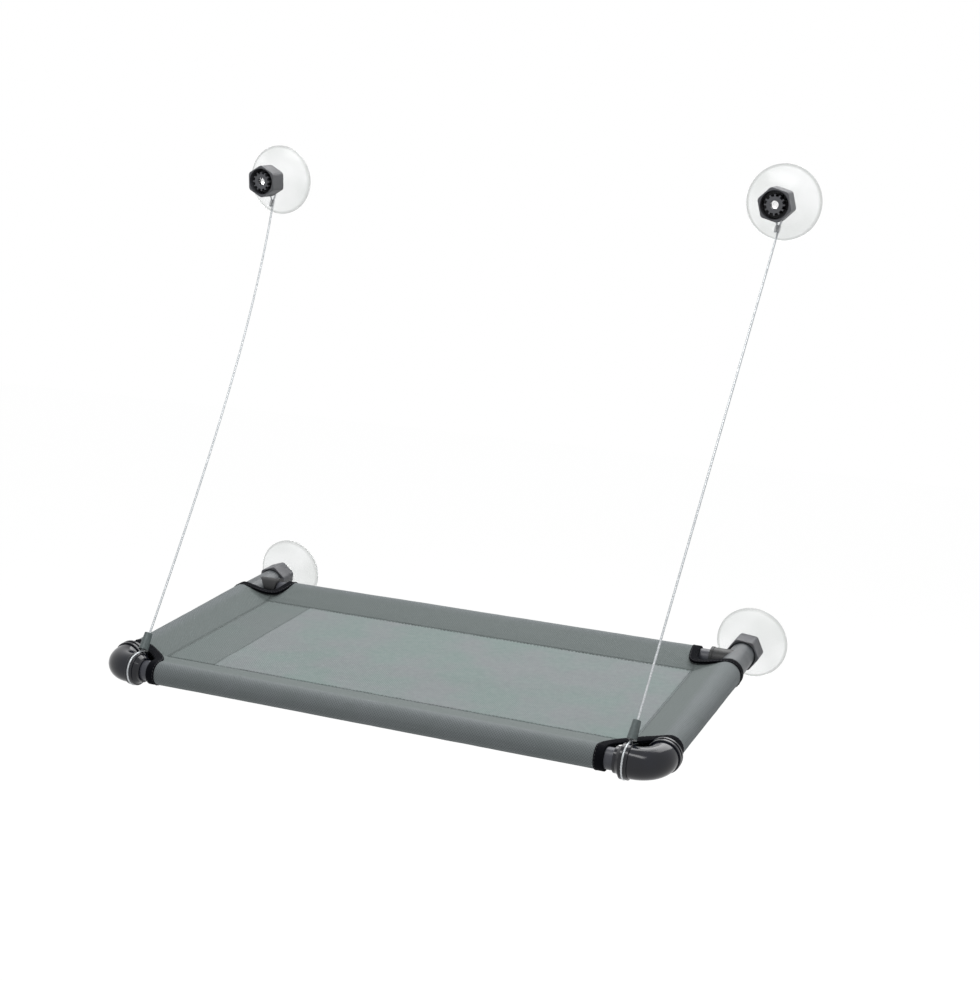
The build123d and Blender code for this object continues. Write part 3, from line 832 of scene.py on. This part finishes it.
def cloth_object(name, grids):
    """A piece of cloth from grids of (point, place in the weave, share of dark pipe behind it)."""
    points, faces, weave, backing = [], [], [], []
    for rows in grids:
        faces += grid_faces(len(rows), len(rows[0]), start=len(points))
        for row in rows:
            for point, place, behind in row:
                points.append(point)
                weave.append(place)
                backing.append(behind)
    made = mesh_object(name, points, faces)
    mesh = made.data
    store_weave(mesh, weave)
    attribute = mesh.attributes.new("pipe_behind", "FLOAT", "POINT")
    attribute.data.foreach_set("value", backing)
    merge_points(made, weld_distance)
    highest = max(mesh.polygons, key=lambda face: face.center.z)
    if highest.normal.z < 0:
        mesh.flip_normals()
    return made


def ruffle(piece):
    """Lift each point along its normal by the unevenness of taut cloth, but not at the level seams."""
    normals = [vertex.normal.copy() for vertex in piece.data.vertices]
    for vertex, normal in zip(piece.data.vertices, normals):
        point = vertex.co / MM
        lift = unevenness(point) * smooth_share(abs(point.z), level_height, raised_height)
        vertex.co = vertex.co + normal * (lift * MM)


def thicken(piece):
    """Give a piece of cloth its thickness, half on each side."""
    modifier = piece.modifiers.new("cloth thickness", "SOLIDIFY")
    modifier.thickness = cloth_thickness * MM
    modifier.offset = 0


print("cloth is", cloth_thickness, "mm thick")

# %% [markdown]
# ## Panel and second layer
# The open middle of the bed is one layer of cloth, and a second one lies under its left part, where
# the photograph shows a wide darker band. Both are grids of points at the height of the waves. The
# panel's grid has a line of points on the band's edge, so the change of shade stays sharp there.

# %% Panel and the hem under its left edge
panel_spacing = 4.0
double_layer = 0.28            # share of what lies behind a double layer, where 1 is a pipe
hem_edge_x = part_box("left_hem")[1][0] / MM
hem_edge_width = 0.4
hem_gap = 0.05


def level_cloth(name, across, drop, node):
    """Level cloth between the front and rear seams, this far below the panel's height."""
    past_hem = hem_edge_x + hem_edge_width / 2
    rows = [[(Vector((x, y, panel_height(x, y) - drop)), (x, y), double_layer if x < past_hem else 0.0)
             for x in across] for y in steps(front_seam_y, rear_seam_y, panel_spacing)]
    made = cloth_object(name, [rows])
    thicken(made)
    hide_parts(node)
    print(name, len(made.data.vertices), "points")
    return made


hem_across = steps(-side_seam_x, hem_edge_x, panel_spacing)
open_across = steps(hem_edge_x + hem_edge_width, side_seam_x, panel_spacing)
panel = level_cloth("panel_cloth", hem_across + open_across, 0.0, "bed_panel")
hem = level_cloth("hem_cloth", hem_across, cloth_thickness + hem_gap, "left_hem")

# %% [markdown]
# ## Sleeves
# Each rail runs in a sleeve of folded cloth. The front corners are cut off on the slant, and the
# cloth there is a small taut web between the front rail and the side rail. At the rear corners both
# sleeves run on past the end of the panel's seam, and meet in a low fold that climbs to the corner
# of the notch. Sweeping the section along a rail makes the straight part, and the web and the fold
# are the same lines drawn between other points, so their edges meet.

# %% Tools for sleeves
sleeve_layer = 0.35            # share of what lies behind the free part of a sleeve
closing_steps = 3              # steps of a section over which the cloth closes up to its pipe


def marked(points, station, along_side, side, seam_place):
    """Give each point of a section its place in the weave and the share of pipe behind it."""
    marked_points = []
    run = 0.0
    for i, point in enumerate(points):
        if i:
            run += (point - points[i - 1]).length
        over_pipe = smooth_share(i, line_steps - closing_steps, line_steps + 1)
        over_pipe *= 1 - smooth_share(i, line_steps + arc_steps - 1, line_steps + arc_steps + closing_steps)
        place = (side * (side_seam_x + run), station) if along_side else (station, seam_place - side * run)
        marked_points.append((point, place, sleeve_layer + (1 - sleeve_layer) * over_pipe))
    return marked_points


def corner_route(start, bend, end, share):
    """A point on the two straight runs from start over bend to end."""
    first, second = (bend - start).length, (end - bend).length
    gone = share * (first + second)
    return start.lerp(bend, gone / first) if gone <= first else bend.lerp(end, (gone - first) / second)


def sleeve_object(name, grids, node):
    """A sleeve's uneven cloth with its thickness, in place of a pocket of the frame."""
    made = cloth_object(name, grids)
    ruffle(made)
    thicken(made)
    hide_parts(node)
    print(name, len(made.data.vertices), "points")
    return made


sleeve_spacing = 4.0
inward_y, forward_y = Vector((0, 1, 0)), Vector((0, -1, 0))
print("tools for sleeves ready")

# %% Front sleeve with a web at each corner
web_steps = 12
web_columns = 12               # of the line's steps, so the web shares the end points of the sleeve
web_side_share = 0.80          # how far the web reaches towards the side rail

sections = []
for x in steps(-front_end_x, front_end_x, sleeve_spacing):
    station = Vector((x, front_axis, 0))
    points = sleeve_section((x, front_seam_y, 0), sleeve_radius, inward_y, station)
    sections.append(marked(points, x, False, 1, front_seam_y))
grids = [sections]
front_corners = {}             # lines at each front corner, for the tape to follow
for side in (-1, 1):
    seam_start = Vector((side * front_end_x, front_seam_y, 0))
    seam_bend = Vector((side * side_seam_x, front_seam_y, 0))
    seam_end = Vector((side * side_seam_x, side_end_front_y, 0))
    front_line = sleeve_section(seam_start, sleeve_radius, inward_y,
                                Vector((side * front_end_x, front_axis, 0)))
    side_line = sleeve_section(seam_end, sleeve_radius, Vector((-side, 0, 0)),
                               Vector((side * side_axis, side_end_front_y, 0)))
    slant_start = front_line[web_columns]
    slant_end = side_line[0].lerp(side_line[line_steps], web_side_share)
    web = []
    for i in range(web_steps + 1):
        inner = corner_route(seam_start, seam_bend, seam_end, i / web_steps)
        outer = slant_start.lerp(slant_end, i / web_steps)
        row = [inner.lerp(outer, j / web_columns) for j in range(web_columns + 1)]
        web.append([(point, (point.x, point.y), sleeve_layer) for point in row])
    grids.append(web if side > 0 else web[::-1])
    front_corners[side] = (front_line, side_line, slant_start, slant_end)
front_sleeve = sleeve_object("front_sleeve_cloth", grids, "front_pocket")

# %% Rear sleeve
fan_steps = 7
fold_width = 9.5               # from where the seam starts to climb to the sleeve's end
notch_corner = (246.0, -99.6, 6.0)     # lowest point of the cut edge at a rear corner
notches = {side: Vector((side * notch_corner[0], notch_corner[1], notch_corner[2])) for side in (-1, 1)}
straight_end = rear_end_x - fold_width

sections = []
for x in steps(-straight_end, straight_end, sleeve_spacing):
    points = sleeve_section((x, rear_seam_y, 0), sleeve_radius, forward_y, Vector((x, rear_axis, 0)))
    sections.append(marked(points, x, False, -1, rear_seam_y))
for side in (-1, 1):
    seam_start = Vector((side * straight_end, rear_seam_y, 0))
    seam_bend = Vector((side * side_seam_x, rear_seam_y, 0))
    fan = []
    for i in range(1, fan_steps + 1):
        share = i / fan_steps
        x = side * (straight_end + (rear_end_x - straight_end) * share)
        points = sleeve_section(corner_route(seam_start, seam_bend, notches[side], share), sleeve_radius,
                                forward_y, Vector((x, rear_axis, 0)))
        fan.append(marked(points, x, False, -1, rear_seam_y))
    sections = sections + fan if side > 0 else fan[::-1] + sections
rear_sleeve = sleeve_object("rear_sleeve_cloth", [sections], "rear_pocket")

# %% Side sleeves
flare_radius = 13.65           # middle of the cloth where it lies on the thicker end of a tee
tee_mouth_y = -96.0


def side_sleeve_radius(y):
    """A side sleeve lies on the pipe in front and on the mouth of the tee behind, straight between."""
    share = (y - side_end_front_y) / (tee_mouth_y - side_end_front_y)
    return sleeve_radius + (flare_radius - sleeve_radius) * min(1.0, max(0.0, share))


side_sleeves = {}
for name, side in SIDES.items():
    toward = Vector((-side, 0, 0))
    sections = []
    for y in steps(side_end_front_y, rear_seam_y, sleeve_spacing)[:-1]:
        points = sleeve_section((side * side_seam_x, y, 0), side_sleeve_radius(y), toward,
                                Vector((side * side_axis, y, 0)))
        sections.append(marked(points, y, True, side, 0))
    for i in range(fan_steps + 1):
        share = i / fan_steps
        y = rear_seam_y + (side_end_rear_y - rear_seam_y) * share
        start = Vector((side * side_seam_x, rear_seam_y, 0)).lerp(notches[side], share)
        points = sleeve_section(start, side_sleeve_radius(y), toward, Vector((side * side_axis, y, 0)))
        sections.append(marked(points, y, True, side, 0))
    side_sleeves[name] = sleeve_object(f"{name}_sleeve_cloth", [sections], f"{name}_pocket")

# %% [markdown]
# ## Black tape along the cut corners
# The cut edge of the cloth would fray, so a woven tape is folded over it and sewn down. It is a
# ribbon that follows the edge: under the pipe, round its outside, over the top, across the corner
# and round the next pipe. Its section is a narrow U that holds the cloth between its two leaves.
# A curve with a bevel would turn its section as it liked. Here each step along the edge also knows
# which way the cloth lies, and the U is set up from that direction.

# %% Path of the cut edge
tape_spacing = 2.0
tape_end_steps = 3             # of a section's steps that the tape stops short of the seam below
rounding_passes = 26
rounding_window = 5            # in steps of the path, round the free part of the edge


def over_and_under(section):
    """The part of a sleeve's section that lies on the pipe, and the straight run back below it."""
    return section[line_steps:line_steps + arc_steps + 1], section[line_steps + arc_steps:]


def edge_path(first_section, second_section, across, into_first, into_second):
    """The cut edge: up the first sleeve's end from below, across the corner, down the second's."""
    arc, under = over_and_under(first_section)
    path = [(p, into_first, 0.0) for p in under[::-1][tape_end_steps:] + arc[::-1][1:]]
    for i, point in enumerate(across):
        share = (i + 1) / (len(across) + 1)
        path.append((point, into_first.lerp(into_second, smooth_share(share, 0.0, 1.0)), 1.0))
    arc, under = over_and_under(second_section)
    return path + [(p, into_second, 0.0) for p in arc + under[1:-tape_end_steps]]


def resampled(path, spacing):
    """Even steps along the path, rounded where the edge is free, with the cloth's direction at each."""
    places = np.array([tuple(p) for p, _, _ in path])
    facts = np.array([(*into, free) for _, into, free in path])
    lengths = walked(places)
    stations = np.linspace(0, lengths[-1], round(lengths[-1] / spacing))
    places = np.stack([np.interp(stations, lengths, places[:, k]) for k in range(3)], axis=1)
    facts = np.stack([np.interp(stations, lengths, facts[:, k]) for k in range(4)], axis=1)
    window = np.ones(rounding_window) / rounding_window
    free = np.convolve(facts[:, 3] > 0, window, "same").clip(0, 1)
    for _ in range(rounding_passes):
        middle = (places[:-2] + places[2:]) / 2
        places[1:-1] += (middle - places[1:-1]) * (0.5 * free[1:-1, None])
        facts[1:-1, :3] += ((facts[:-2, :3] + facts[2:, :3]) / 2 - facts[1:-1, :3]) * 0.5
    return [Vector(p) for p in places], [Vector(f[:3]) for f in facts]


def outside_is_left(path):
    """Whether the cloth's direction crossed with the path's points out of the sleeve at its top."""
    top = max(range(1, len(path) - 1), key=lambda i: path[i][0].z)
    tangent = path[top + 1][0] - path[top - 1][0]
    return path[top][1].cross(tangent).z > 0


print("tape follows the edge in steps of", tape_spacing, "mm")

# %% Folded tape
tape_width = 8.3
tape_thickness = 0.7
tape_overhang = 0.8            # of the fold past the cut edge
tape_play = 0.06               # between the cloth and each leaf
tape_corner = 0.35             # bevel of the tape's own edges
tape_lift = 0.25               # the tape rides up on the cloth's waves
stitch_inset = 1.3             # of the stitches from the tape's inner edge
stitch_lift = 0.3              # of the thread's middle above the tape


def tape_section():
    """Points round a folded tape: how far each is into the cloth, and how far above its middle."""
    inner = cloth_thickness / 2 + tape_play
    outer = inner + tape_thickness
    corner = tape_corner
    upper = [(tape_width, outer - corner), (tape_width - corner, outer), (corner - tape_overhang, outer),
             (-tape_overhang, outer - corner)]
    lower = [(into, -up) for into, up in upper[::-1]]
    return upper + lower + [(tape_width, -inner), (0.0, -inner), (0.0, inner), (tape_width, inner)], outer


def tape_ribbon(name, path):
    """A folded tape along an edge path, with its place along and across the weave."""
    line, into = resampled(path, tape_spacing)
    section, outer = tape_section()
    left = outside_is_left(path)
    points, weave, stitch_line = [], [], []
    run = 0.0
    for i, here in enumerate(line):
        run += (here - line[i - 1]).length if i else 0.0
        tangent = (line[min(i + 1, len(line) - 1)] - line[max(i - 1, 0)]).normalized()
        inwards = (into[i] - tangent * into[i].dot(tangent)).normalized()
        outwards = inwards.cross(tangent) if left else tangent.cross(inwards)
        for across, up in section:
            points.append(here + inwards * across + outwards * (up + tape_lift))
            weave.append((run, across + up))
        stitch_line.append(here + inwards * (tape_width - stitch_inset) + outwards * (outer + stitch_lift))
    count = len(section)
    faces = grid_faces(len(line), count, wrap=True)
    faces += [tuple(range(count))[::-1], tuple(range((len(line) - 1) * count, len(line) * count))]
    made = mesh_object(name, points, faces)
    store_weave(made.data, weave)
    merge_points(made, touching, turn_out=True)
    return made, stitch_line


print("tape", tape_width, "mm wide")

# %% Tapes at the four corners
tapes = {}
tape_lines = []


def add_tape(corner, path):
    """The tape of one corner, in place of its binding in the frame."""
    tapes[corner], stitch_line = tape_ribbon(f"{corner}_tape", path)
    tape_lines.append(stitch_line)
    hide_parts(f"{corner}_binding")


for name, side in SIDES.items():
    inward_x = Vector((-side, 0, 0))
    front_line, side_line, slant_start, slant_end = front_corners[side]
    across = [slant_start.lerp(slant_end, i / web_steps) for i in range(web_steps + 1)]
    add_tape(f"front_{name}", edge_path(front_line, side_line, across, inward_x, inward_y))

    rear_line = sleeve_section(notches[side], sleeve_radius, forward_y,
                               Vector((side * rear_end_x, rear_axis, 0)))
    side_line = sleeve_section(notches[side], flare_radius, inward_x,
                               Vector((side * side_axis, side_end_rear_y, 0)))
    across = rear_line[:line_steps][::-1] + side_line[1:line_steps]
    add_tape(f"rear_{name}", edge_path(rear_line, side_line, across, inward_x, forward_y))
print("tapes", {name: len(piece.data.vertices) for name, piece in tapes.items()})

# %% [markdown]
# ## Stitches
# The seams and the tapes are sewn with lock stitches a few millimetres long. Hundreds of them are
# needed, so a Geometry Nodes group makes them: it walks along a line, puts a short thread at each
# step, turns it along the line and gives it the thread's material. A fixed seed varies their size a
# little, and the result becomes a plain mesh, which is what the export needs.

# %% Geometry Nodes group of a stitched row
stitch_segments, stitch_rings = 8, 6
least_stitch, largest_stitch, stitch_seed = 0.86, 1.08, 4


def stitch_group():
    """Thread pieces along the edges of a mesh, each lying in the line's direction."""
    group = bpy.data.node_groups.new("stitched row", "GeometryNodeTree")
    face = group.interface
    face.new_socket("Geometry", in_out="OUTPUT", socket_type="NodeSocketGeometry")
    face.new_socket("Line", in_out="INPUT", socket_type="NodeSocketGeometry")
    for name in ("Spacing", "Stitch length", "Thread radius"):
        face.new_socket(name, in_out="INPUT", socket_type="NodeSocketFloat")
    face.new_socket("Thread", in_out="INPUT", socket_type="NodeSocketMaterial")
    given = add_node(group, "NodeGroupInput").outputs
    curve = add_node(group, "GeometryNodeMeshToCurve", links={"Mesh": given["Line"]})
    even = add_node(group, "GeometryNodeResampleCurve", {"mode": "LENGTH"},
                    links={"Curve": curve.outputs[0], "Length": given["Spacing"]})
    points = add_node(group, "GeometryNodeCurveToPoints", {"mode": "EVALUATED"},
                      links={"Curve": even.outputs[0]})
    ball = add_node(group, "GeometryNodeMeshUVSphere",
                    values={"Segments": stitch_segments, "Rings": stitch_rings, "Radius": 1.0})
    half_length = add_node(group, "ShaderNodeMath", {"operation": "MULTIPLY"}, {1: 0.5},
                           {0: given["Stitch length"]})
    radius = given["Thread radius"]
    size = add_node(group, "ShaderNodeCombineXYZ", links={0: radius, 1: radius, 2: half_length.outputs[0]})
    stitch = add_node(group, "GeometryNodeTransform",
                      links={"Geometry": ball.outputs[0], "Scale": size.outputs[0]})
    wobble = add_node(group, "FunctionNodeRandomValue", {"data_type": "FLOAT"},
                      {2: least_stitch, 3: largest_stitch, "Seed": stitch_seed})
    placed = add_node(group, "GeometryNodeInstanceOnPoints",
                      links={"Points": points.outputs["Points"], "Instance": stitch.outputs[0],
                             "Rotation": points.outputs["Rotation"], "Scale": wobble.outputs[1]})
    real = add_node(group, "GeometryNodeRealizeInstances", links={0: placed.outputs[0]})
    dyed = add_node(group, "GeometryNodeSetMaterial", links={"Geometry": real.outputs[0],
                                                             "Material": given["Thread"]})
    add_node(group, "NodeGroupOutput", links={0: dyed.outputs[0]})
    return group


def stitched(name, lines, spacing, stitch_length, thread_radius, thread):
    """One piece with a row of stitches along each line of points."""
    points, edges = [], []
    for line in lines:
        edges += [(len(points) + i, len(points) + i + 1) for i in range(len(line) - 1)]
        points += [tuple(c * MM for c in p) for p in line]
    mesh = bpy.data.meshes.new(name + "_line")
    mesh.from_pydata(points, edges, [])
    holder = add_object(name + "_line", mesh)
    modifier = holder.modifiers.new("stitches", "NODES")
    modifier.node_group = row_group
    inputs = [item for item in row_group.interface.items_tree if item.in_out == "INPUT"]
    sockets = {item.name: item.identifier for item in inputs}
    modifier[sockets["Spacing"]] = spacing * MM
    modifier[sockets["Stitch length"]] = stitch_length * MM
    modifier[sockets["Thread radius"]] = thread_radius * MM
    modifier[sockets["Thread"]] = thread
    shaped = holder.evaluated_get(bpy.context.evaluated_depsgraph_get())
    finished = bpy.data.meshes.new_from_object(shaped)
    finished.name = name
    bpy.data.objects.remove(holder)
    finished.polygons.foreach_set("use_smooth", [True] * len(finished.polygons))
    return add_object(name, finished)


row_group = stitch_group()
print("stitch group has", len(row_group.nodes), "nodes")

# %% Seams
seam_inset = 1.6               # of the stitches from the edge of the panel
seam_step = 3.0
seam_height = cloth_thickness / 2 + 0.12       # of the thread's middle above the cloth's middle


def seam_line(start, end):
    """Points along a seam on top of the panel, at the panel's own height."""
    steps_along = max(2, round((Vector(end) - Vector(start)).length / seam_step))
    line = [Vector(start).lerp(Vector(end), i / steps_along) for i in range(steps_along + 1)]
    return [Vector((p.x, p.y, panel_height(p.x, p.y) + seam_height)) for p in line]


sewn_x = side_seam_x - seam_inset
sewn_front_y, sewn_rear_y = front_seam_y + seam_inset, rear_seam_y - seam_inset
seam_lines = [seam_line((side * sewn_x, sewn_front_y), (side * sewn_x, sewn_rear_y)) for side in (-1, 1)]
seam_lines += [seam_line((-sewn_x, y), (sewn_x, y)) for y in (sewn_front_y, sewn_rear_y)]
seam_lines.append(seam_line((hem_edge_x - seam_inset, sewn_front_y), (hem_edge_x - seam_inset, sewn_rear_y)))
seams = stitched("seam_stitches", seam_lines, spacing=3.8, stitch_length=2.9, thread_radius=0.3,
                 thread=grey_thread)
tape_seams = stitched("tape_stitches", tape_lines, spacing=3.2, stitch_length=2.4, thread_radius=0.28,
                      thread=black_thread)
print("stitches", len(seams.data.polygons), len(tape_seams.data.polygons), "faces")

# %% [markdown]
# ## Finish
# The rigid pieces keep the shapes of the frame and take their materials. Each new piece rides on
# the body of the bed, because only the four nuts turn, and the size that each piece of cloth was cut
# to is worked out from its seams and from the way round its rail.

# %% Materials of the rigid pieces
finishes = {"rail": pipe_pvc, "tee": grey_pvc, "elbow": polished_abs, "nut": nylon}
for name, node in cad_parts.items():
    end, kind = name.split("_")[0], name.split("_")[-1]
    if kind in finishes:
        material = finishes[kind]
    elif kind == "ferrule":
        material = bright_ferrule if end == "upper" else grey_ferrule
    elif kind == "cup":
        material = clear_vinyl(f"clear soft vinyl of the {name}", centre(name)[0], centre(name)[2])
    else:
        continue
    for material_slot in node.material_slots:
        material_slot.material = material
print("rigid pieces have their materials")

# %% Bodies, slots and sizes of the cloth
cloths = [panel, hem, front_sleeve, rear_sleeve, *side_sleeves.values()]
for piece in cloths:
    piece.data.materials.append(mesh_cloth)
for piece in tapes.values():
    piece.data.materials.append(woven_tape)
for piece in (*cloths, *tapes.values(), seams, tape_seams):
    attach(piece, "bed_frame")


def sleeve_girth(radius, seam_distance):
    """Length of the cloth round a pipe, from the seam and back to it."""
    straight = sqrt(seam_distance ** 2 - radius ** 2)
    return 2 * straight + radius * 2 * (pi - acos(radius / seam_distance))


bed_width = 2 * side_seam_x
bed_depth = rear_seam_y - front_seam_y
side_radius = side_sleeve_radius(0.5 * (side_end_front_y + side_end_rear_y))
side_size = (sleeve_girth(side_radius, side_axis - side_seam_x), side_end_rear_y - side_end_front_y)
flat_sizes = {
    panel: (bed_width, bed_depth),
    hem: (hem_edge_x + side_seam_x, bed_depth),
    front_sleeve: (bed_width, sleeve_girth(sleeve_radius, front_seam_y - front_axis)),
    rear_sleeve: (2 * rear_end_x, sleeve_girth(sleeve_radius, rear_axis - rear_seam_y)),
    side_sleeves["left"]: side_size,
    side_sleeves["right"]: side_size,
}
for piece, (width, length) in flat_sizes.items():
    print(piece.name, "was cut", round(width), "by", round(length), "mm")
